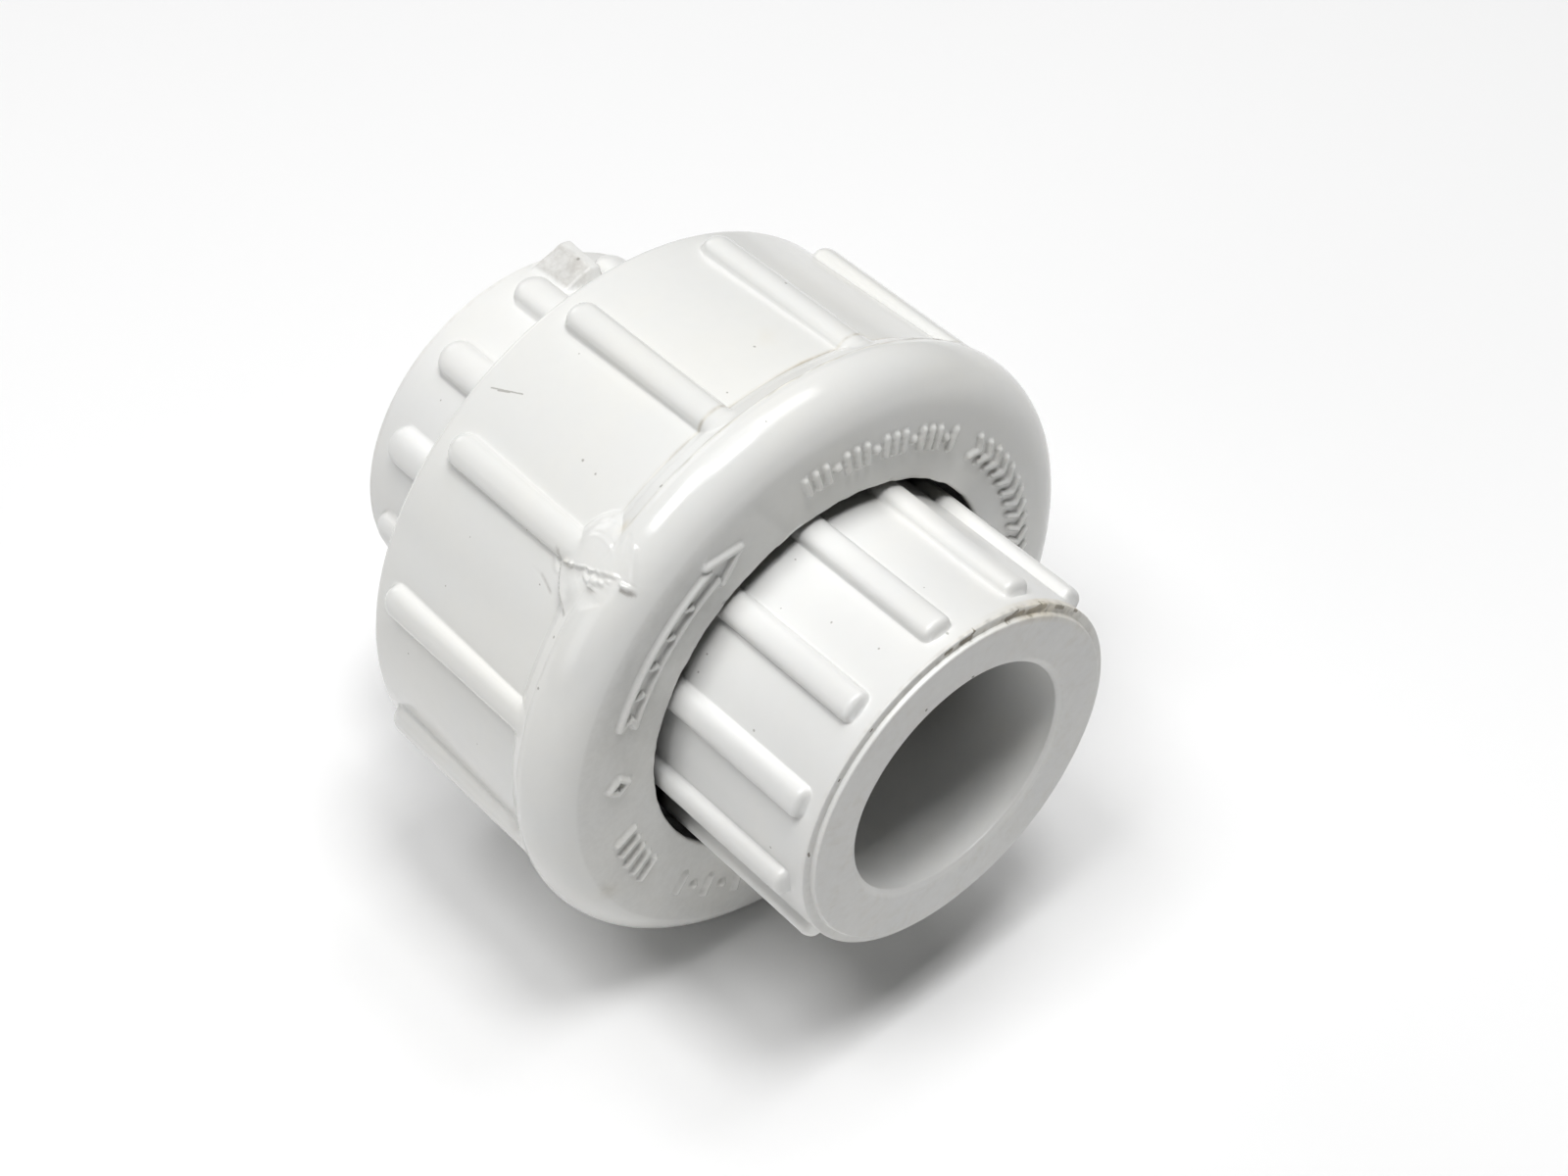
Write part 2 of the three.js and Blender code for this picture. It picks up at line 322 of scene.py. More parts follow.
# x0, x1: ends; half: half width; foot, crest: radii; at: degrees to the first rib.
# run0, run1: length over which each end runs out (0: it carries on).
# section: power of the cross-section; plan: 2 gives round ends in plan, more squarer ones.
NUT_RIB = SimpleNamespace(
    x0=-11.2, x1=9.5, half=1.46, foot=26.9, crest=28.02, run0=1.42, run1=0.0,
    section=2.2, plan=2.0, at=12.3,
)
TAIL_RIB = SimpleNamespace(
    x0=7.0, x1=26.3, half=1.38, foot=TAIL_HUB_R, crest=17.38, run0=0.0, run1=0.8,
    section=2.5, plan=3.4, at=4.6,
)
BODY_RIB = SimpleNamespace(
    x0=-25.75, x1=-11.0, half=1.74, foot=BODY_HUB_R, crest=18.0, run0=1.7, run1=0.0,
    section=2.3, plan=2.0, at=1.0,
)
# mm from a rib's middle line to the mesh columns on each side of it
RIB_OFFSETS = [
    0.28, 0.55, 0.78, 0.95, 1.08, 1.18, 1.26, 1.33, 1.39, 1.45, 1.52, 1.62, 1.8, 2.1, 2.6,
]


def rib_columns(rib, radius, fill):
    """Columns crowded round each rib, with even gaps, fill of them, between ribs."""
    offsets = np.array(sorted([0.0] + RIB_OFFSETS + [-o for o in RIB_OFFSETS])) / radius
    start, end = offsets[-1], RIB_PITCH + offsets[0]
    between = start + (end - start) * np.arange(1, fill) / fill
    one = np.concatenate([offsets, between])
    first = math.radians(rib.at)
    return np.concatenate([first + k * RIB_PITCH + one for k in range(RIB_COUNT)])


def rib_field(x, angle, rib):
    """Radius of the rib surface; below the foot radius away from the ribs."""
    nearest = np.round((angle - math.radians(rib.at)) / RIB_PITCH)
    local = wrap(angle - math.radians(rib.at) - nearest * RIB_PITCH)
    index = nearest.astype(int) % RIB_COUNT
    # each rib is slightly off its place, and its ends off theirs
    across = local * rib.foot + 0.03 * np.sin(index * 2.1 + rib.at)
    x0 = rib.x0 + 0.12 * np.sin(index * 1.7 + 0.6)
    x1 = rib.x1 + 0.12 * np.sin(index * 2.9 + 0.2)
    past_end = np.zeros_like(across)
    if rib.run0 > 0:
        past_end = np.maximum(past_end, (x0 + rib.run0 - x) / rib.run0)
    if rib.run1 > 0:
        past_end = np.maximum(past_end, (x - (x1 - rib.run1)) / rib.run1)
    side = np.abs(across) / rib.half
    reach = (side**rib.plan + past_end**rib.plan) ** (1 / rib.plan)
    dome = np.clip(1 - np.clip(reach, 0, 1) ** rib.section, 0, 1) ** (1 / rib.section)
    inside = (rib.crest - rib.foot) * dome
    return rib.foot + np.where(reach < 1, inside, -(reach - 1) * rib.half * RIB_FALL)


# ---------------------------------------------------------------------------
# Thread
# ---------------------------------------------------------------------------


def thread(x, angle, x0, turns, wall, crest, foot_width, top_width):
    """Radius of a trapezoid ridge wound right-hand round the axis."""
    turn = np.round((x - x0) / PITCH - angle / TAU) + angle / TAU
    distance = np.abs(x - x0 - PITCH * turn)
    fade = np.clip(np.minimum(turn, turns - turn) / RIDGE_FADE, 0, 1)
    full = abs(crest - wall)
    slope = full / ((foot_width - top_width) / 2)
    height = soft_min(full * fade, full - (distance - top_width / 2) * slope, 0.22)
    height = soft_max(height, np.zeros_like(height), 0.22)
    height = np.where(fade > 0, height, 0)
    return wall + math.copysign(1, crest - wall) * np.clip(height, 0, full)


def groove_width(radius):
    """Axial width left between male ridges at a radius, less the clearance."""
    slope = (RIDGE_FOOT - RIDGE_TOP) / RIDGE_HEIGHT
    return PITCH - (RIDGE_FOOT - slope * (radius - MALE_WALL_R)) - CLEARANCE


# ---------------------------------------------------------------------------
# Raised marks on the nut's face: plain strokes, bars, dots and chevrons
# ---------------------------------------------------------------------------

MARK_HEIGHT, MARK_SKIRT = 0.42, 0.13  # skirt: extra half width of each stroke's foot
# degrees between which the face has fine columns, to carry the marks
MARK_ZONES = (
    (112.0, 160.5), (50.0, 98.0), (-6.0, 45.0), (170.5, 178.5), (189.0, 210.5), (221.0, 245.5),
)


def face_marks():
    """((radius, degrees) points, half width) of each raised stroke."""
    marks = []

    def stroke(half, *points):
        marks.append((points, half))

    def dot(radius, degrees):
        stroke(0.3, (radius, degrees), (radius, degrees + 0.01))

    # turning-direction arrow: a long outlined shaft, a barbed head and four ticks
    for radius in (22.75, 21.15):
        stroke(0.22, *[(radius, 158.5 + (122.0 - 158.5) * i / 30) for i in range(31)])
    stroke(0.22, (22.75, 158.5), (21.95, 156.4), (21.15, 158.5))
    stroke(0.26, (23.45, 121.6), (21.95, 114.0), (20.45, 121.6))
    for degrees in (150.5, 143.5, 136.5, 129.5):
        stroke(0.19, (21.75, degrees), (22.15, degrees + 0.6))
    # bars, with a dot in every fourth place
    for i, degrees in enumerate(np.linspace(95.5, 52.5, 17)):
        if i % 4 == 3:
            dot(21.9, degrees)
        else:
            stroke(0.21, (21.05, degrees - 0.5), (22.75, degrees + 0.5))
    # chevrons
    for degrees in np.linspace(42, -3, 11):
        stroke(0.2, (22.75, degrees + 1.3), (21.8, degrees - 1.1), (20.85, degrees + 1.3))
    # on the -Y side: a lozenge, slanted bars, then bars and dots in turn
    stroke(0.19, (22.7, 174.5), (21.75, 176.6), (20.8, 174.5), (21.75, 172.4), (22.7, 174.5))
    for degrees in (191.5, 195.5, 199.5, 203.5, 207.5):
        stroke(0.2, (20.8, degrees - 0.6), (22.7, degrees + 0.8))
    for i, degrees in enumerate((223, 228, 233, 238, 243)):
        if i % 2:
            dot(21.8, degrees)
        else:
            stroke(0.2, (20.9, degrees - 0.4), (22.7, degrees + 0.4))
    return marks


def polar(radius, degrees):
    angle = math.radians(degrees)
    return np.array([radius * math.cos(angle), radius * math.sin(angle)])


MARK_SEGMENTS = [
    (polar(*start), polar(*end), half)
    for points, half in face_marks()
    for start, end in zip(points[:-1], points[1:])
]


def mark_height(radius, angle):
    y, z = radius * np.cos(angle), radius * np.sin(angle)
    distance = np.full(y.shape, 9.0)
    for start, end, half in MARK_SEGMENTS:
        middle, span = (start + end) / 2, end - start
        reach = np.linalg.norm(span) / 2 + 1.0
        near = (np.abs(y - middle[0]) < reach) & (np.abs(z - middle[1]) < reach)
        if not near.any():
            continue
        off_y, off_z = y[near] - start[0], z[near] - start[1]
        part = np.clip((off_y * span[0] + off_z * span[1]) / (span @ span), 0, 1)
        gap = np.hypot(off_y - part * span[0], off_z - part * span[1])
        distance[near] = np.minimum(distance[near], gap / (half + MARK_SKIRT))
    dome = np.sqrt(np.clip(1 - distance * distance, 0, 1))
    return MARK_HEIGHT * dome * (1 - rise(0.9, 1.0, distance) * 0.5)


# ---------------------------------------------------------------------------
# The sprue stub on the nut's shoulder. Places are (along the axis, across it
# round the wall), mm from the stub's place
# ---------------------------------------------------------------------------

FACET = [
    (-3.15, 1.0), (-2.57, 1.68), (-1.95, 2.6), (-1.63, 3.0), (-0.81, 3.61), (0.45, 4.62),
    (1.32, 3.79), (2.31, 2.81), (3.26, 1.84), (3.72, 1.01), (4.2, 0.1), (3.3, -0.45),
    (2.81, -0.32), (-2.2, 1.51), (-2.75, 0.75),
]
# along, across, half length, half width, tilt in radians, height
FLAKES = (
    (0.85, 1.2, 0.42, 0.26, 0.3, 0.17), (1.5, 0.98, 0.5, 0.3, -0.25, 0.22),
    (2.1, 0.72, 0.42, 0.22, -0.4, 0.18), (1.55, 1.5, 0.3, 0.17, -0.1, 0.18),
    (2.4, 0.3, 0.3, 0.2, -0.3, 0.16), (-1.95, 1.45, 0.36, 0.17, -0.5, 0.14),
    (-1.25, 1.08, 0.28, 0.13, -0.3, 0.12), (3.92, -0.12, 0.5, 0.27, -0.15, 0.42),
)
SCORE = [(-3.86, 3.65), (-3.18, 3.92), (-2.3, 4.31)]
# height (negative: cut in), width, points
KNIFE_EDGES = (
    (0.10, 0.15, [(2.75, -2.86), (3.23, -2.11), (3.75, -1.29), (4.05, -0.65)]),
    (-0.07, 0.12, [(1.78, -3.4), (2.52, -1.9), (2.93, -0.57)]),
    (0.17, 0.16, [(-3.4, 1.75), (-2.8, 2.55)]),
    (-0.035, 0.14, [(-2.1, -2.1), (-1.04, -2.98), (0.29, -3.4)]),
    (-0.05, 0.1, SCORE),
)
# dirt and painted shadow in lines round the facet: strength, width, points. The line along the
# facet's left step is partly painted shadow of the step, the one under the big flake is painted
# shadow, and the score line is dirt.
GATE_DIRT_AND_SHADOW = (
    (0.5, 0.16, FACET[:5] + [(0.38, 4.58)]),
    (0.35, 0.12, SCORE),
    (0.8, 0.14, [(3.7, 0.3), (4.15, 0.25), (4.4, 0.0)]),
)


def gate_place(x, angle):
    return x - GATE_X, turn_from(angle, GATE_DEG) * GATE_R


def line_distance(x, y, points):
    distance = np.full(x.shape, 9.0)
    for (x0, y0), (x1, y1) in zip(points[:-1], points[1:]):
        span_x, span_y = x1 - x0, y1 - y0
        part = ((x - x0) * span_x + (y - y0) * span_y) / (span_x * span_x + span_y * span_y)
        part = np.clip(part, 0, 1)
        gap = np.hypot(x - x0 - part * span_x, y - y0 - part * span_y)
        distance = np.minimum(distance, gap)
    return distance


def inside_distance(x, y, points):
    """Distance to a closed outline, negative inside."""
    distance = line_distance(x, y, points + points[:1])
    inside = np.zeros(x.shape, bool)
    for (x0, y0), (x1, y1) in zip(points, points[1:] + points[:1]):
        if y0 != y1:
            inside ^= ((y0 > y) != (y1 > y)) & (x < (x1 - x0) * (y - y0) / (y1 - y0) + x0)
    return np.where(inside, -distance, distance)


def flake(along, across, at_along, at_across, half_length, half_width, tilt, seed):
    """0 to 1 weight of a torn flake with a ragged outline."""
    cos, sin = math.cos(tilt), math.sin(tilt)
    length = (along - at_along) * cos + (across - at_across) * sin
    width = -(along - at_along) * sin + (across - at_across) * cos
    length = length + 0.12 * noise(along, across, 0, 3.1, seed)
    width = width + 0.10 * noise(along, across, 0, 3.7, seed + 1)
    return np.exp(-(((length / half_length) ** 2 + (width / half_width) ** 2) ** 2))


def add_gate(x, angle, radius):
    """Sprue stub broken and trimmed off at the shoulder, standing in a knife-cut facet."""
    along, across = gate_place(x, angle)
    near = (np.abs(along) < 5.2) & (across > -4.4) & (across < 5.4)
    ragged = 0.07 * noise(along, across, 0, 2.3, 61) + 0.03 * noise(along, across, 0, 6, 62)
    # signed distance past the line of the break
    cut = (across - 0.74 + 0.36 * along) / 1.063 + ragged * 1.3
    # pad, and the disc standing on it
    top = 28.30 - 0.10 * np.minimum(along, 0) ** 2 - 0.03 * np.maximum(along - 0.4, 0) ** 2
    off = np.hypot(along - 0.22, across - 0.4)
    stub = top + 0.04 - 0.03 * np.maximum(-along, 0) - 0.004 * off**2
    stub = stub - 0.20 * np.clip(off - 2.3, 0, None) ** 1.7
    stub = stub - 0.035 * bell(off - 2.58, 0.15) + 0.02 * bell(off - 2.3, 0.15)
    stub = stub - 3.0 * rise(-0.02, 0.14, cut)
    out = soft_max(radius, stub, 0.42) - 0.105 * bell(radius - stub, 0.2)
    # facet: a flat knife cut, flush with the shoulder on one side, proud of the skirt opposite
    flat = 28.22 + 0.235 * np.minimum(along - 0.2, 0) - 0.10 * np.maximum(along - 0.8, 0)
    flat = flat + (across - 1.3) ** 2 / 56 + 0.05 * layered(along, across, 0, 0.9, 63)
    weight = 1 - rise(-0.11, 0.07, inside_distance(along, across, FACET) + ragged * 0.5)
    weight = weight * (1 - rise(2.3, 4.3, across) * rise(-0.8, 0.9, along))
    shaved = soft_min(np.where(along < 1.4, np.maximum(out, flat), out), flat, 0.1)
    out = out * (1 - weight) + np.where(cut > 0, shaved, out) * weight
    # torn lip along the break, flakes, and knife edges
    lip = bell(cut, 0.13) * rise(-2.7, -2.1, along) * (1 - rise(2.7, 3.1, along))
    out = out + lip * (0.13 + 0.12 * noise(along, across, 0, 2.6, 64))
    for k, (*outline, height) in enumerate(FLAKES):
        out = out + height * flake(along, across, *outline, seed=70 + k)
    for height, width, points in KNIFE_EDGES:
        out = out + height * bell(line_distance(along, across, points), width)
    return np.where(near, out, radius)


# ---------------------------------------------------------------------------
# The union nut
# ---------------------------------------------------------------------------


def crown_point(degrees):
    """Point on the rounding between the shoulder and the front face."""
    angle = math.radians(degrees)
    x = FACE_X - NUT_ROUND + NUT_ROUND * math.cos(angle)
    return (x, NUT_R - NUT_ROUND + NUT_ROUND * math.sin(angle), 0.0, 5.0, "shoulder")


# Profiles: x, radius, fillet, row spacing after the point, band
NUT_POINTS = [
    (NUT_BACK_X, 24.0, 0.25, 0.7, "back"),
    (NUT_BACK_X, 26.66, 0.64, 0.5, "skirt"),
    (-11.9, 26.68, 0.0, 0.16, "skirt"),
    (-9.3, 26.71, 0.0, 1.25, "skirt"),
    (2.6, 27.0, 0.0, 0.3, "skirt"),
    (3.6, 27.02, 0.0, 0.17, "skirt"),
    (5.72, 27.06, 0.16, 0.13, "skirt"),
    (6.6, 27.67, 1.2, 0.18, "skirt"),
    (7.68, 28.15, 0.0, 0.07, "shoulder"),
    (7.75, 28.2, 0.0, 0.07, "shoulder"),
    (7.83, 28.19, 0.0, 0.13, "shoulder"),
    *[crown_point(degrees) for degrees in (*range(90, 45, -3), *range(44, 3, -4), 0)],
    (FACE_X, 23.75, 0.0, 0.125, "face"),
    (FACE_X, 20.0, 0.0, 0.4, "face"),
    (FACE_X, NUT_HOLE_R, 0.22, 0.2, "hole"),
    (8.1, NUT_HOLE_R, 0.2, 0.9, "bore"),
    (8.1, FEMALE_WALL_R, 0.35, 0.9, "bore"),
    (3.0, FEMALE_WALL_R, 0.0, 0.2, "bore"),
    (-11.4, FEMALE_WALL_R, 0.0, 0.6, "bore"),
    (-12.66, FEMALE_WALL_R, 0.0, 0.3, "bore"),
]

GATE_COLUMNS = math.radians(GATE_DEG) + np.arange(-4.4, 5.6, 0.125) / GATE_R
MARK_COLUMNS = [
    np.arange(math.radians(start), math.radians(end), 0.128 / 21.9) for start, end in MARK_ZONES
]
NUT_COLUMNS = {
    "skirt": merge_angles(rib_columns(NUT_RIB, radius=27.0, fill=7), GATE_COLUMNS),
    "shoulder": merge_angles(even(250), GATE_COLUMNS),
    "face": merge_angles(even(120), *MARK_COLUMNS),
    "hole": even(300),
    "bore": even(140),
    "back": even(200),
}


def nut_shape(x, radius, facing, angle, band):
    row_x = x[0]
    y, z = radius * np.cos(angle), radius * np.sin(angle)
    if band in ("skirt", "shoulder"):
        if band == "skirt" and facing > 0.05:
            ribs = rib_field(x, angle, NUT_RIB) - 0.35 * rise(6.6, 7.9, x)
            radius = soft_max(radius, ribs, 0.5)
        if facing > 0.4:
            radius = add_gate(x, angle, radius)
        # slight unevenness of a moulded wall, and a nibbled parting line
        radius = radius + 0.03 * layered(x, y, z, 0.12, 5, octaves=2)
        if band == "shoulder" and row_x < 8.3:
            radius = radius + 0.035 * bell(row_x - 7.75, 0.07) * noise(y, z, 0, 1.1, 7)
    elif band == "face":
        if row_x > 12.2:
            x = x + mark_height(radius, angle)
        x = x + 0.03 * layered(0, y, z, 0.1, 6, octaves=2)
    elif band == "hole":
        # wavy edge, strongest near the top
        y, z = np.cos(angle) * 18, np.sin(angle) * 18
        wave = 0.10 * noise(y, z, 0, 0.9, 21) + 0.05 * noise(y, z, 0, 2.3, 22)
        upper = 0.35 + 0.65 * rise(0.2, 0.9, toward(angle, 112))
        radius = radius + wave * rise(9.0, 12.0, x) * upper
    elif band == "bore" and -12.0 < row_x < 4.0 and facing < -0.5:
        crest = FEMALE_WALL_R - RIDGE_HEIGHT
        radius = thread(
            x, angle, MALE_X0 - PITCH / 2, FEMALE_TURNS, FEMALE_WALL_R, crest,
            foot_width=groove_width(FEMALE_WALL_R), top_width=groove_width(crest),
        )
    return x, radius


# ---------------------------------------------------------------------------
# The tail piece
# ---------------------------------------------------------------------------

TAIL_POINTS = [
    (END_X, 11.5, 0.22, 0.45, "face"),
    (END_X, 15.38, 0.16, 0.15, "face"),
    (LIP_X, 15.46, 0.08, 0.2, "face"),
    (LIP_X, TAIL_HUB_R, 0.12, 0.22, "hub"),
    (26.7, TAIL_HUB_R, 0.0, 0.13, "hub"),
    (24.6, TAIL_HUB_R, 0.0, 1.3, "hub"),
    (7.85, TAIL_HUB_R, 0.25, 0.8, "collar"),
    (7.85, COLLAR_R, 0.3, 0.8, "collar"),
    (3.95, COLLAR_R, 0.3, 0.8, "collar"),
    (3.95, 15.85, 0.15, 0.6, "collar"),
    (6.75, 15.85, 0.3, 0.6, "collar"),
    (6.75, 11.15, 0.3, 0.6, "collar"),
    (3.95, 11.15, 0.15, 0.6, "collar"),
    (3.95, BORE_R, 0.3, 0.8, "collar"),
    (8.4, BORE_R, 0.25, 0.6, "collar"),
    (8.4, SOCKET_R, 0.3, 1.2, "socket"),
    (25.2, 10.77, 0.0, 0.4, "socket"),
    (27.8, 10.92, 0.22, 0.2, "socket"),
]
TAIL_COLUMNS = {
    "face": even(360),
    "hub": merge_angles(rib_columns(TAIL_RIB, radius=TAIL_HUB_R, fill=6)),
    "collar": even(168),
    "socket": even(288),
}


def tail_shape(x, radius, facing, angle, band):
    y, z = radius * np.cos(angle), radius * np.sin(angle)
    if band == "hub" and facing > 0.5:
        radius = soft_max(radius, rib_field(x, angle, TAIL_RIB), 0.24)
        radius = radius + 0.02 * layered(x, y, z, 0.15, 8, octaves=2)
    if band == "face":
        x = x + 0.02 * layered(y, z, 0, 0.2, 9, octaves=2)
    return x, radius


# ---------------------------------------------------------------------------
# The threaded body
# ---------------------------------------------------------------------------

BODY_POINTS = [
    (-END_X, 11.55, 0.3, 0.45, "face"),
    (-END_X, 15.84, 0.16, 0.15, "face"),
    (-LIP_X, 15.92, 0.08, 0.2, "face"),
    (-LIP_X, BODY_HUB_R, 0.12, 0.16, "hub"),
    (-21.5, BODY_HUB_R, 0.0, 0.9, "hub"),
    (-12.0, BODY_HUB_R, 0.35, 0.8, "barrel"),
    (-12.0, MALE_WALL_R, 0.3, 0.6, "barrel"),
    (-9.4, MALE_WALL_R, 0.0, 0.2, "barrel"),
    (3.2, MALE_WALL_R, 0.12, 0.2, "barrel"),
    (3.75, 20.95, 0.12, 0.8, "barrel"),
    (3.75, BORE_R, 0.3, 0.9, "barrel"),
    (-5.975, BORE_R, 0.25, 0.7, "barrel"),
    (-5.975, SOCKET_R, 0.3, 1.2, "socket"),
    (-27.72, 10.77, 0.3, 0.2, "socket"),
]
STUB_COLUMNS = math.radians(STUB_DEG) + np.linspace(-0.2, 0.26, 56)
BODY_COLUMNS = {
    "face": even(360),
    "hub": merge_angles(rib_columns(BODY_RIB, radius=BODY_HUB_R, fill=6), STUB_COLUMNS),
    "barrel": even(180),
    "socket": even(240),
}


def body_stub(x, angle):
    """Broken sprue stub: a ragged crest with a long torn face on one side."""
    along, across = x - STUB_X, turn_from(angle, STUB_DEG) * STUB_R
    rough = 0.08 * layered(along, across, 0, 1.1, 12)
    stub = 18.42 + 0.03 * layered(along, across, 0, 3, 13, octaves=2) + rough - 0.03 * along
    stub = stub - 0.62 * np.clip(across, 0, None) - 1.6 * np.clip(-across - 0.9, 0, None)
    return stub - 1.7 * np.clip(np.abs(along + 0.9 * rough) - 2.0, 0, None)


def body_shape(x, radius, facing, angle, band):
    row_x = x[0]
    if band == "hub" and facing > 0.5:
        y, z = radius * np.cos(angle), radius * np.sin(angle)
        radius = soft_max(radius, rib_field(x, angle, BODY_RIB), 0.26)
        radius = soft_max(radius, body_stub(x, angle), 0.2)
        radius = radius + 0.02 * layered(x, y, z, 0.15, 10, octaves=2)
    elif band == "barrel" and row_x < -11.5 and radius[0] < 18.6:
        # the ribs run into the step
        ribs = rib_field(np.full_like(x, -13.0), angle, BODY_RIB)
        radius = np.maximum(radius, ribs - 0.02 * (18.6 - radius))
    elif band == "barrel" and facing > 0.5 and -10 < row_x < 3.3:
        radius = thread(
            x, angle, MALE_X0, MALE_TURNS, MALE_WALL_R, MALE_WALL_R + RIDGE_HEIGHT,
            foot_width=RIDGE_FOOT, top_width=RIDGE_TOP,
        )
    return x, radius


# ---------------------------------------------------------------------------
# The O-ring: a squeezed torus with a fine flash line outside and inside
# ---------------------------------------------------------------------------

RING_X, RING_R = 5.255, 13.46
RING_HALF_X, RING_HALF_R = 1.425, 2.17
RING_ROWS = 40
RING_FLASH = {0: 0.012, RING_ROWS // 2: -0.012}  # row: radial offset


def ring_point(i):
    angle = TAU * i / RING_ROWS
    radius = RING_R + RING_HALF_R * math.cos(angle) + RING_FLASH.get(i, 0.0)
    return (RING_X + RING_HALF_X * math.sin(angle), radius, 0.0, 5.0, "ring")


RING_POINTS = [ring_point(i) for i in range(RING_ROWS)]

# ---------------------------------------------------------------------------
# Masks for dirt and stains, per vertex
# ---------------------------------------------------------------------------

# stains on the nut's wall: strength, x, degrees, size along x, size round the wall
NUT_STAINS = (
    (0.9, 1.7, 82.2, 0.7, 0.45), (0.45, -1.5, 92.8, 0.5, 0.5),
    (0.7, GATE_X + 0.75, 124.6, 0.35, 0.5), (0.35, GATE_X - 1.7, 134.7, 0.6, 0.3),
    (0.8, 5.75, 83, 0.22, 1.3),
)


def patches(moved, unmoved, middle, gain, scale, seed, octaves=3):
    """Cloudy 0 to 1 mask."""
    clouds = layered(unmoved[:, 0], moved[:, 1], moved[:, 2], scale, seed, octaves)
    return np.clip(middle + gain * clouds, 0, 1)


def wall_blob(x, angle, at_x, at_degrees, size_x, size_round):
    return bell(x - at_x, size_x) * bell(turn_from(angle, at_degrees) * 27, size_round)


def nut_masks(moved, unmoved):
    x, radius, angle = unmoved.T
    outer = radius > 26
    patch = patches(moved, unmoved, 0.5, 0.9, 0.5, 31)
    fine = patches(moved, unmoved, 0.5, 1.2, 1.7, 32)
    seam = patches(moved, unmoved, 0.15, 1.6, 1.1, 33, octaves=2)
    upper = 0.06 + 0.94 * rise(0.35, 0.95, toward(angle, 66))
    edge_on = rise(0.92, 0.99, toward(angle, 50))
    # crease under the shoulder and the parting line, both kept clear of the sprue stub
    along, across = gate_place(x, angle)
    clear = rise(2.9, 3.4, np.hypot(along - 0.3, across - 0.9))
    clear = clear * rise(2.6, 3.3, np.hypot(along - 0.6, across - 2.6))
    crease = bell(x - 5.74, 0.15) * outer * clear
    parting = bell(x - 7.76, 0.085) * outer * clear
    dirt = upper * (0.55 * crease * fine + 0.8 * parting * seam)
    dirt = dirt + 0.45 * edge_on * bell(x - 7.35, 0.42) * outer
    dirt = dirt + 0.25 * bell(radius - 17.98, 0.18) * (x > 11.5) * patch
    # round the stub's facet: dirt, and painted shadow along its step and under the flakes
    near = (np.abs(along) < 5.2) & (np.abs(across) < 5.6) & outer
    for strength, width, points in GATE_DIRT_AND_SHADOW:
        dirt = dirt + near * strength * bell(line_distance(along, across, points), width)
    # painted shadow below the torn flakes, in patches
    spot = bell(np.hypot(along - 1.6, (across - 1.75) * 1.6), 0.4)
    dirt = dirt + near * 0.35 * spot * (fine > 0.3)
    stain = upper * (0.7 * crease * patch + 0.7 * parting * patch)
    for strength, *place in NUT_STAINS:
        stain = stain + strength * wall_blob(x, angle, *place)
    stain = stain + 0.35 * wall_blob(x, angle, 4.9, 70, 0.9, 2.0) * fine
    # painted shade: the front face is darker on its -Y side
    dirt = dirt + 0.11 * (x > 12.0) * (radius < 25.5) * rise(-0.5, 0.6, toward(angle, 205))
    # faint smudge on the front face, on the -Y side just below the axis
    smudge = bell(radius - 25.2, 0.9) * bell(turn_from(angle, 203) * 25, 1.2) * (x > 11)
    dirt = dirt + 0.22 * smudge * fine
    stain = stain + 0.3 * smudge
    # painted shade: near black on the hole's wall and in the recess behind the front face
    inside = (radius < 23.3) & (x > 4.0) & (x < 12.0)
    recess = np.where(inside, 1 - rise(11.5, 12.02, x), 0)
    return {"dirt": np.clip(dirt, 0, 1), "stain": np.clip(stain, 0, 1), "recess": recess}


def tail_masks(moved, unmoved):
    x, radius, angle = unmoved.T
    patch = patches(moved, unmoved, 0.5, 1.1, 0.6, 41)
    fine = patches(moved, unmoved, 0.3, 1.8, 2.1, 42)
    rim = bell(radius - 15.7, 0.3) * (x > 27.5) * (x < 27.95)
    rim = rim + 0.5 * bell(radius - TAIL_HUB_R, 0.08) * (x > 27.5)
    top = bell(turn_from(angle, 82), 0.62)
    film = bell(turn_from(angle, 52), 0.36) * (x > 27.0) * rise(14.6, 15.6, radius)
    dirt = rim * fine * (0.08 + 0.6 * top)
    dirt = dirt + 0.12 * bell(radius - 10.95, 0.2) * (x > 27.6) * patch
    # the whole end face is also darkened a little as painted shade, more in patches
    dirt = dirt + 0.2 * film * fine + (0.07 + 0.05 * patch * fine) * (x > 28.05)
    stain = 0.5 * rim * patch * (0.3 + top) + 0.18 * patch * (x > 27.9) * fine
    stain = stain + 1.1 * film * (0.5 + 0.5 * patch)
    # painted shade: near black on the hub where it enters the nut, and darkening deeper in the
    # socket, strongest towards the upper +Y side
    recess = np.where((radius > 16.0) & (x < 11.0), 1 - rise(8.4, 9.6, x), 0.0)
    shade = 0.25 + 0.62 * rise(-0.5, 0.5, toward(angle, 40))
    recess = recess + np.where(radius < 10.9, shade * (1 - rise(12.0, 24.0, x)), 0.0)
    return {"dirt": np.clip(dirt, 0, 1), "stain": np.clip(stain, 0, 1), "recess": recess}


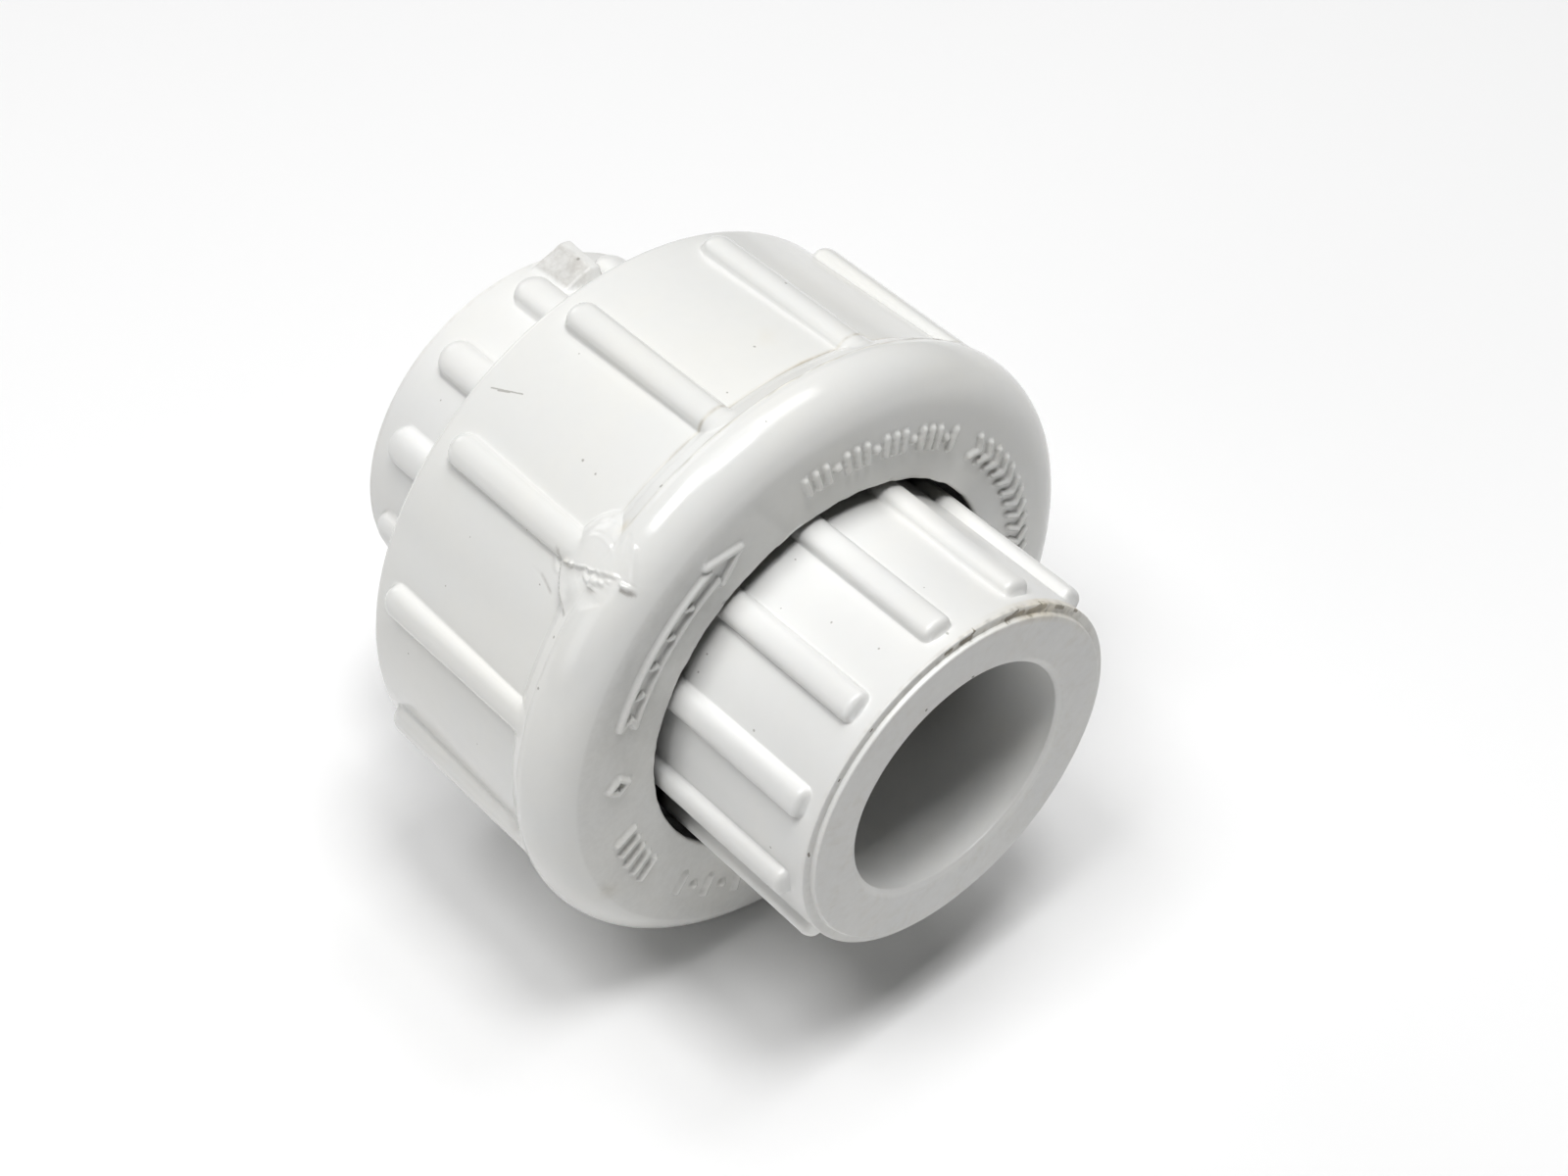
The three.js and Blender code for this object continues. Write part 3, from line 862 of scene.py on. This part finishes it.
def body_masks(moved, unmoved):
    x, radius, angle = unmoved.T
    patch = patches(moved, unmoved, 0.5, 1.1, 0.6, 51)
    fine = patches(moved, unmoved, 0.3, 1.8, 2.1, 52)
    rim = bell(radius - 16.4, 0.26) * (x < -27.3)
    step = bell(x + 12.1, 0.5) * (radius > 16.5) * patch
    # torn face of the sprue stub, darkened as painted shade with some dirt
    across = turn_from(angle, STUB_DEG) * STUB_R
    torn = rise(16.85, 17.1, np.hypot(moved[:, 1], moved[:, 2]))
    torn = torn * np.exp(-(((x - STUB_X) / 2.5) ** 6))
    torn = torn * rise(-0.3, 0.3, across) * (1 - rise(2.6, 3.0, across))
    dirt = 0.35 * rim * fine + 0.1 * step + 0.52 * torn * (0.6 + 0.4 * patch)
    stain = 0.3 * rim * patch + 0.12 * step
    return {
        "dirt": np.clip(dirt, 0, 1), "stain": np.clip(stain, 0, 1), "recess": np.zeros_like(x),
    }


# ---------------------------------------------------------------------------
# Materials
# ---------------------------------------------------------------------------

SPECK_COLOR = (0.16, 0.145, 0.125)
MARK_COLOR = (0.13, 0.105, 0.075)
STAIN_COLOR = (0.72, 0.64, 0.47)
# grey-brown, for dirt and for painted shade and shadow
DIRT_AND_SHADE_COLOR = (0.20, 0.175, 0.14)
# near black, for painted shade in recesses
PAINTED_SHADE_COLOR = (0.012, 0.011, 0.010)
RIM_MARK_R = 15.8  # mm, radius at which marks on the end face are laid out
RIM_MARK_X = 0.0273  # metres; marks on the end face start here


class Net:
    """Adds nodes to a material's tree. Values are numbers or sockets to link from."""

    def __init__(self, material):
        material.use_nodes = True
        self.tree = material.node_tree

    def put(self, socket, value):
        if isinstance(value, bpy.types.NodeSocket):
            self.tree.links.new(value, socket)
        else:
            socket.default_value = value

    def fill(self, node, **values):
        for name, value in values.items():
            self.put(node.inputs[name.replace("_", " ")], value)

    def add(self, kind, **values):
        node = self.tree.nodes.new("ShaderNode" + kind)
        self.fill(node, **values)
        return node

    def math(self, operation, *values, kind="Math"):
        node = self.add(kind)
        node.operation = operation
        for socket, value in zip(node.inputs, values):
            self.put(socket, value)
        return node.outputs[0]

    def vector(self, operation, *values):
        return self.math(operation, *values, kind="VectorMath").node

    def noise(self, vector, scale, detail=2.0, roughness=0.5, distortion=0.0):
        return self.add(
            "TexNoise", Scale=scale, Detail=detail, Roughness=roughness,
            Distortion=distortion, Vector=vector,
        ).outputs["Fac"]

    def ramp(self, value, between, to=(0.0, 1.0)):
        node = self.add(
            "MapRange", From_Min=between[0], From_Max=between[1], To_Min=to[0], To_Max=to[1],
            Value=value,
        )
        node.interpolation_type = "SMOOTHSTEP"
        return node.outputs["Result"]

    def mix(self, mask, under, over, strength=None):
        if strength is not None:
            mask = self.math("MULTIPLY", mask, strength)
        node = self.add("Mix")
        node.data_type = "RGBA"
        for index, value in ((0, mask), (6, under), (7, over)):
            self.put(node.inputs[index], (*value, 1.0) if isinstance(value, tuple) else value)
        return node.outputs[2]

    def attribute(self, name):
        node = self.add("Attribute")
        node.attribute_type = "GEOMETRY"
        node.attribute_name = name
        return node.outputs["Fac"]


def stroke_mask(net, surface, radius, start, start_deg, end, end_deg, width):
    """1 within a round-ended stroke on an unrolled surface; a spot if its ends meet."""

    def place(along, degrees):
        return along * MM, math.radians((degrees + 180) % 360 - 180) * radius * MM

    first, last = place(start, start_deg), place(end, end_deg)
    offset = net.vector("SUBTRACT", surface, (*first, 0)).outputs[0]
    if first != last:
        span = Vector((last[0] - first[0], last[1] - first[1], 0))
        dot = net.vector("DOT_PRODUCT", offset, span / span.length_squared).outputs["Value"]
        part = net.math("MINIMUM", net.math("MAXIMUM", dot, 0.0), 1.0)
        along = net.vector("SCALE", span)
        net.fill(along, Scale=part)
        offset = net.vector("SUBTRACT", offset, along.outputs[0]).outputs[0]
    distance = net.vector("LENGTH", offset).outputs["Value"]
    width = width * MM
    return net.ramp(distance, between=(width * 0.45, width * 1.1), to=(1.0, 0.0))


def placed_marks(net, coords, radius, spots, strokes, rim_strokes):
    """Mask of single specks, nicks and scratches, on the wall and on the end face."""
    ragged = net.noise(coords, scale=5200.0)
    x, y, z = net.add("SeparateXYZ", Vector=coords).outputs
    angle = net.math("ARCTAN2", z, y)
    wobble = net.math("MULTIPLY", net.math("SUBTRACT", ragged, 0.5), 0.00022)

    def unrolled(along, at_radius):
        node = net.add("CombineXYZ")
        net.fill(node, X=net.math("ADD", along, wobble))
        net.fill(node, Y=net.math("MULTIPLY", angle, at_radius * MM))
        return node.outputs[0]

    def axis_distance():
        squares = [net.math("MULTIPLY", side, side) for side in (y, z)]
        return net.math("SQRT", net.math("ADD", *squares), 0.0)

    wall = unrolled(x, radius)
    marks = None
    spot_strokes = [(at_x, deg, at_x, deg, size) for at_x, deg, size in spots]
    for group, strength in ((spot_strokes, 0.55), (strokes, 0.5)):
        for stroke in group:
            mask = net.math("MULTIPLY", stroke_mask(net, wall, radius, *stroke), strength)
            marks = mask if marks is None else net.math("MAXIMUM", marks, mask)
    outside = ((radius - 1.2) * MM, (radius - 0.9) * MM)
    marks = net.math("MULTIPLY", marks, net.ramp(axis_distance(), between=outside))
    if rim_strokes:
        end_face = unrolled(axis_distance(), RIM_MARK_R)
        on_end = net.ramp(x, between=(RIM_MARK_X, RIM_MARK_X + 0.0001))
        for stroke in rim_strokes:
            mask = stroke_mask(net, end_face, RIM_MARK_R, *stroke)
            marks = net.math("MAXIMUM", marks, net.math("MULTIPLY", mask, on_end))
    return marks


def pvc(name, tint, roughness, seed, radius, spots, strokes=(), rim_strokes=()):
    """White rigid PVC: faint flow clouding, fine moulded texture, specks, stains, dirt and painted
    shade.

    spots: (x, degrees, size); strokes: (x, degrees, x, degrees, width), mm on a wall of the
    given radius; rim_strokes: (radius, degrees, radius, degrees, width) on the end face."""
    material = bpy.data.materials.new(name)
    net = Net(material)
    net.tree.nodes.clear()
    output = net.add("OutputMaterial")
    surface = net.add(
        "BsdfPrincipled", IOR=1.52, Subsurface_Weight=0.08,
        Subsurface_Radius=(1.0, 0.92, 0.8), Subsurface_Scale=0.0006,
    )
    net.fill(output, Surface=surface.outputs[0])
    coords = net.add("TexCoord").outputs["Object"]
    shift = (seed * 0.37, seed * 0.11, seed * 0.23)
    shifted = net.add("Mapping", Location=shift, Vector=coords).outputs["Vector"]

    # flow clouding and fine mottling
    cool = tuple(c * k for c, k in zip(tint, (0.988, 0.99, 0.993)))
    warm = tuple(min(1.0, c * k) for c, k in zip(tint, (1.004, 1.0, 0.99)))
    clouds = net.noise(shifted, scale=70.0, detail=4.0, roughness=0.6, distortion=0.4)
    color = net.mix(net.ramp(clouds, between=(0.38, 0.66)), cool, warm)
    mottle = net.noise(shifted, scale=900.0, detail=3.0, roughness=0.6)
    mottle = net.ramp(mottle, between=(0.35, 0.75))
    color = net.mix(mottle, color, tuple(c * 0.90 for c in tint), strength=0.08)

    # sparse dark specks: a few cells are picked, each with its own darkness
    cells = net.add("TexVoronoi", Scale=240.0, Vector=shifted)
    random = net.add("SeparateColor", Color=cells.outputs["Color"]).outputs
    pick = net.ramp(random[0], between=(0.925, 0.935))
    spot = net.ramp(cells.outputs["Distance"], between=(0.022, 0.052), to=(1.0, 0.0))
    shade = net.ramp(random[1], between=(0.0, 1.0), to=(0.25, 0.85))
    speck = net.math("MULTIPLY", net.math("MULTIPLY", pick, spot), shade)
    color = net.mix(speck, color, SPECK_COLOR)
    marks = placed_marks(net, coords, radius, spots, strokes, rim_strokes)
    color = net.mix(marks, color, MARK_COLOR, strength=0.88)

    # yellowish stains, grey-brown dirt with some painted shade and shadow, and near-black painted
    # shade in recesses, from the mesh's masks
    color = net.mix(net.attribute("stain"), color, STAIN_COLOR, strength=0.5)
    grain = net.noise(shifted, scale=1500.0, detail=3.0, roughness=0.6)
    grain = net.ramp(grain, between=(0.3, 0.7), to=(0.55, 1.0))
    dirt = net.math("MULTIPLY", net.attribute("dirt"), grain)
    color = net.mix(net.math("MINIMUM", dirt, 0.9), color, DIRT_AND_SHADE_COLOR)
    # near-black painted shade in recesses
    color = net.mix(net.attribute("recess"), color, PAINTED_SHADE_COLOR, strength=0.965)

    # finish: dirt, the shade painted with it, and specks are duller
    gloss = net.noise(shifted, scale=160.0, detail=4.0, roughness=0.6)
    gloss = net.ramp(gloss, between=(0.35, 0.7), to=(roughness - 0.03, roughness + 0.05))
    gloss = net.math("ADD", gloss, net.math("MULTIPLY", dirt, 0.35))
    gloss = net.math("ADD", gloss, net.math("MULTIPLY", speck, 0.2))

    # moulded texture and faint draw lines along the pipe axis
    stretched = net.add("Mapping", Scale=(0.12, 1.0, 1.0), Vector=coords).outputs["Vector"]
    lines = net.noise(stretched, scale=1900.0)
    peel = net.noise(shifted, scale=520.0, detail=3.0, roughness=0.55)
    soft = net.noise(shifted, scale=110.0)
    height = net.math(
        "ADD", net.math("MULTIPLY", peel, 0.35), net.math("MULTIPLY", lines, 0.15)
    )
    height = net.math("ADD", height, net.math("MULTIPLY", soft, 0.25))
    bump = net.add("Bump", Strength=0.22, Distance=0.00006, Height=height)
    net.fill(surface, Base_Color=color, Roughness=gloss, Normal=bump.outputs["Normal"])
    return material


def rubber(name):
    """Black rubber, slightly uneven in tone and gloss."""
    material = bpy.data.materials.new(name)
    net = Net(material)
    coords = net.add("TexCoord").outputs["Object"]
    clouds = net.noise(coords, scale=420.0, detail=4.0)
    tone = net.add("ValToRGB", Fac=clouds)
    tone.color_ramp.elements[0].color = (0.012, 0.012, 0.013, 1)
    tone.color_ramp.elements[1].color = (0.035, 0.034, 0.034, 1)
    gloss = net.add("MapRange", To_Min=0.38, To_Max=0.6, Value=clouds)
    grain = net.noise(coords, scale=1600.0)
    bump = net.add("Bump", Strength=0.25, Distance=0.00004, Height=grain)
    net.fill(
        net.tree.nodes["Principled BSDF"], Base_Color=tone.outputs[0],
        Roughness=gloss.outputs[0], Normal=bump.outputs["Normal"],
    )
    return material


# nicks and dirt on the step round the socket's rim: radius, degrees, radius, degrees, width
RIM_STROKES = (
    (15.66, 64.4, 15.98, 57.6, 0.34), (15.95, 61.8, 16.15, 59.6, 0.16),
    (15.66, 74.2, 15.84, 67.3, 0.28), (15.9, 71.8, 16.1, 69.9, 0.15),
    (15.78, 91.6, 15.74, 88.2, 0.32), (15.95, 87.8, 16.1, 86.8, 0.16),
    (15.87, 97.3, 15.87, 95.5, 0.26), (15.97, 51.8, 15.97, 48.0, 0.22),
    (16.1, 41.2, 16.12, 39.8, 0.16), (16.0, 168.1, 15.85, 169.4, 0.12),
    (11.62, 87.3, 11.6, 86.6, 0.13), (12.2, 110.6, 12.2, 110.1, 0.11),
    (15.9, 127.0, 15.9, 126.4, 0.12), (15.8, 143.4, 15.8, 142.9, 0.1),
)
# x, degrees, size
NUT_SPOTS = (
    (-0.15, 120.9, 0.15), (1.6, 121.3, 0.13), (-3.96, 166.6, 0.15), (7.96, 153.7, 0.15),
    (7.22, 145.3, 0.14), (-5.56, 153.1, 0.09), (-0.56, 135.4, 0.09), (-4.0, 193.5, 0.26),
    (7.62, 116.4, 0.18), (-2.4, 72.0, 0.12), (1.9, 86.5, 0.12), (4.4, 97.0, 0.1),
    (-7.7, 107.5, 0.08), (-5.2, 143.0, 0.08), (3.1, 141.0, 0.08), (-8.3, 171.5, 0.09),
    (1.1, 177.0, 0.09), (9.6, 98.0, 0.1),
)
TAIL_SPOTS = (
    (19.29, 111.3, 0.12), (23.81, 108.7, 0.12), (12.96, 104.0, 0.1), (12.34, 145.3, 0.12),
    (19.29, 147.7, 0.13), (23.99, 176.4, 0.13), (12.28, 139.6, 0.11), (26.6, 93.0, 0.14),
    (15.2, 117.0, 0.08), (22.0, 86.0, 0.08),
)
BODY_SPOTS = ((-23.0, 133.0, 0.1), (-19.5, 108.0, 0.1))
# x, degrees, x, degrees, width
NUT_STROKES = ((-11.62, 121.3, -8.84, 118.8, 0.075), (-10.9, 120.9, -9.9, 119.9, 0.09))

PVC_NUT = pvc(
    "pvc_nut", tint=(0.80, 0.80, 0.78), roughness=0.17, seed=3.0, radius=27.0,
    spots=NUT_SPOTS, strokes=NUT_STROKES,
)
PVC_TAIL = pvc(
    "pvc_tail", tint=(0.81, 0.81, 0.795), roughness=0.34, seed=7.0, radius=16.3,
    spots=TAIL_SPOTS, rim_strokes=RIM_STROKES,
)
PVC_BODY = pvc(
    "pvc_body", tint=(0.81, 0.81, 0.795), roughness=0.34, seed=11.0, radius=BODY_HUB_R,
    spots=BODY_SPOTS,
)
RUBBER = rubber("seal_rubber")

# ---------------------------------------------------------------------------
# Pieces on their bodies
# ---------------------------------------------------------------------------


def place_piece(piece, material, body, cad):
    piece.data.materials.append(material)
    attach(piece, body)
    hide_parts(cad)


nut = turned("nut_shell", NUT_POINTS, NUT_COLUMNS, nut_shape, nut_masks)
place_piece(nut, PVC_NUT, "nut", "union_nut")
tail = turned("tail_shell", TAIL_POINTS, TAIL_COLUMNS, tail_shape, tail_masks)
place_piece(tail, PVC_TAIL, "tail", "tail_piece")
threaded = turned("body_shell", BODY_POINTS, BODY_COLUMNS, body_shape, body_masks)
place_piece(threaded, PVC_BODY, "threaded_end", "threaded_body")
ring = turned("seal_ring", RING_POINTS, {"ring": even(160)})
place_piece(ring, RUBBER, "seal", "o_ring")

# ---------------------------------------------------------------------------
# Floor, world, lights and camera, in metres
# ---------------------------------------------------------------------------

FLOOR_HALF, FLOOR_GAP = 3.0, 0.0002
# name, place, side of the square, watts; each is aimed at the origin
LIGHTS = (
    ("top", (0, 0, 0.8), 0.5, 1.35),
    ("top_far", (0, 0.3, 0.75), 0.3, 1.30),
    ("top_near", (0, -0.3, 0.75), 0.3, 2.54),
    ("top_tail", (0.15, 0, 0.8), 0.2, 2.26),
    ("side", (-0.8, 0, 0.35), 0.4, 0.83),
    ("low_near", (0, -0.8, 0.3), 0.4, 0.62),
)
CAMERA_AZIMUTH, CAMERA_HEIGHT = math.radians(48.598), math.radians(46.034)
# mm from the middle of the nut's face
CAMERA_BACK, CAMERA_RIGHT, CAMERA_UP = 231.857, -3.336, 6.485


def add_floor():
    material = bpy.data.materials.new("floor_white")
    net = Net(material)
    net.fill(
        net.tree.nodes["Principled BSDF"], Base_Color=(0.93, 0.93, 0.93, 1),
        Roughness=0.75, Specular_IOR_Level=0.2,
    )
    mesh = bpy.data.meshes.new("floor")
    corners = [(x * FLOOR_HALF, y * FLOOR_HALF, 0) for x, y in ((-1, -1), (1, -1), (1, 1), (-1, 1))]
    mesh.from_pydata(corners, [], [(0, 1, 2, 3)])
    mesh.materials.append(material)
    floor = bpy.data.objects.new("floor", mesh)
    floor.location = (0, 0, CAD_BOX[0].z - FLOOR_GAP)
    bpy.context.scene.collection.objects.link(floor)


def add_world():
    world = bpy.data.worlds.new("studio")
    bpy.context.scene.world = world
    world.use_nodes = True
    background = world.node_tree.nodes["Background"]
    background.inputs["Color"].default_value = (1, 1, 1, 1)
    background.inputs["Strength"].default_value = 0.0


def add_light(name, place, side, power):
    light = bpy.data.lights.new(name, "AREA")
    light.shape = "RECTANGLE"
    light.size = side
    light.size_y = side
    light.energy = power
    lamp = bpy.data.objects.new(name, light)
    lamp.location = place
    lamp.rotation_mode = "QUATERNION"
    aim = Vector((0, 0, 0)) - Vector(place)
    lamp.rotation_quaternion = aim.to_track_quat("-Z", "Y")
    bpy.context.scene.collection.objects.link(lamp)


def add_camera():
    level = math.cos(CAMERA_HEIGHT)
    back = Vector((
        math.sin(CAMERA_AZIMUTH) * level, -math.cos(CAMERA_AZIMUTH) * level,
        math.sin(CAMERA_HEIGHT),
    ))
    right = Vector((math.cos(CAMERA_AZIMUTH), math.sin(CAMERA_AZIMUTH), 0))
    up = back.cross(right)
    place = back * CAMERA_BACK + right * CAMERA_RIGHT + up * CAMERA_UP
    place = (place + Vector((FACE_X, 0, 0))) * MM
    lens = bpy.data.cameras.new("camera")
    lens.sensor_width = 36.0
    lens.lens = 65.25
    lens.clip_start = 0.01
    lens.clip_end = 20
    camera = bpy.data.objects.new("camera", lens)
    rows = [(right[i], up[i], back[i], place[i]) for i in range(3)]
    camera.matrix_world = Matrix((*rows, (0, 0, 0, 1)))
    bpy.context.scene.collection.objects.link(camera)
    bpy.context.scene.camera = camera


add_floor()
add_world()
for light_row in LIGHTS:
    add_light(*light_row)
add_camera()
view = bpy.context.scene.view_settings
view.view_transform = "Standard"
view.look = "None"
view.exposure = 0.03
view.gamma = 0.92
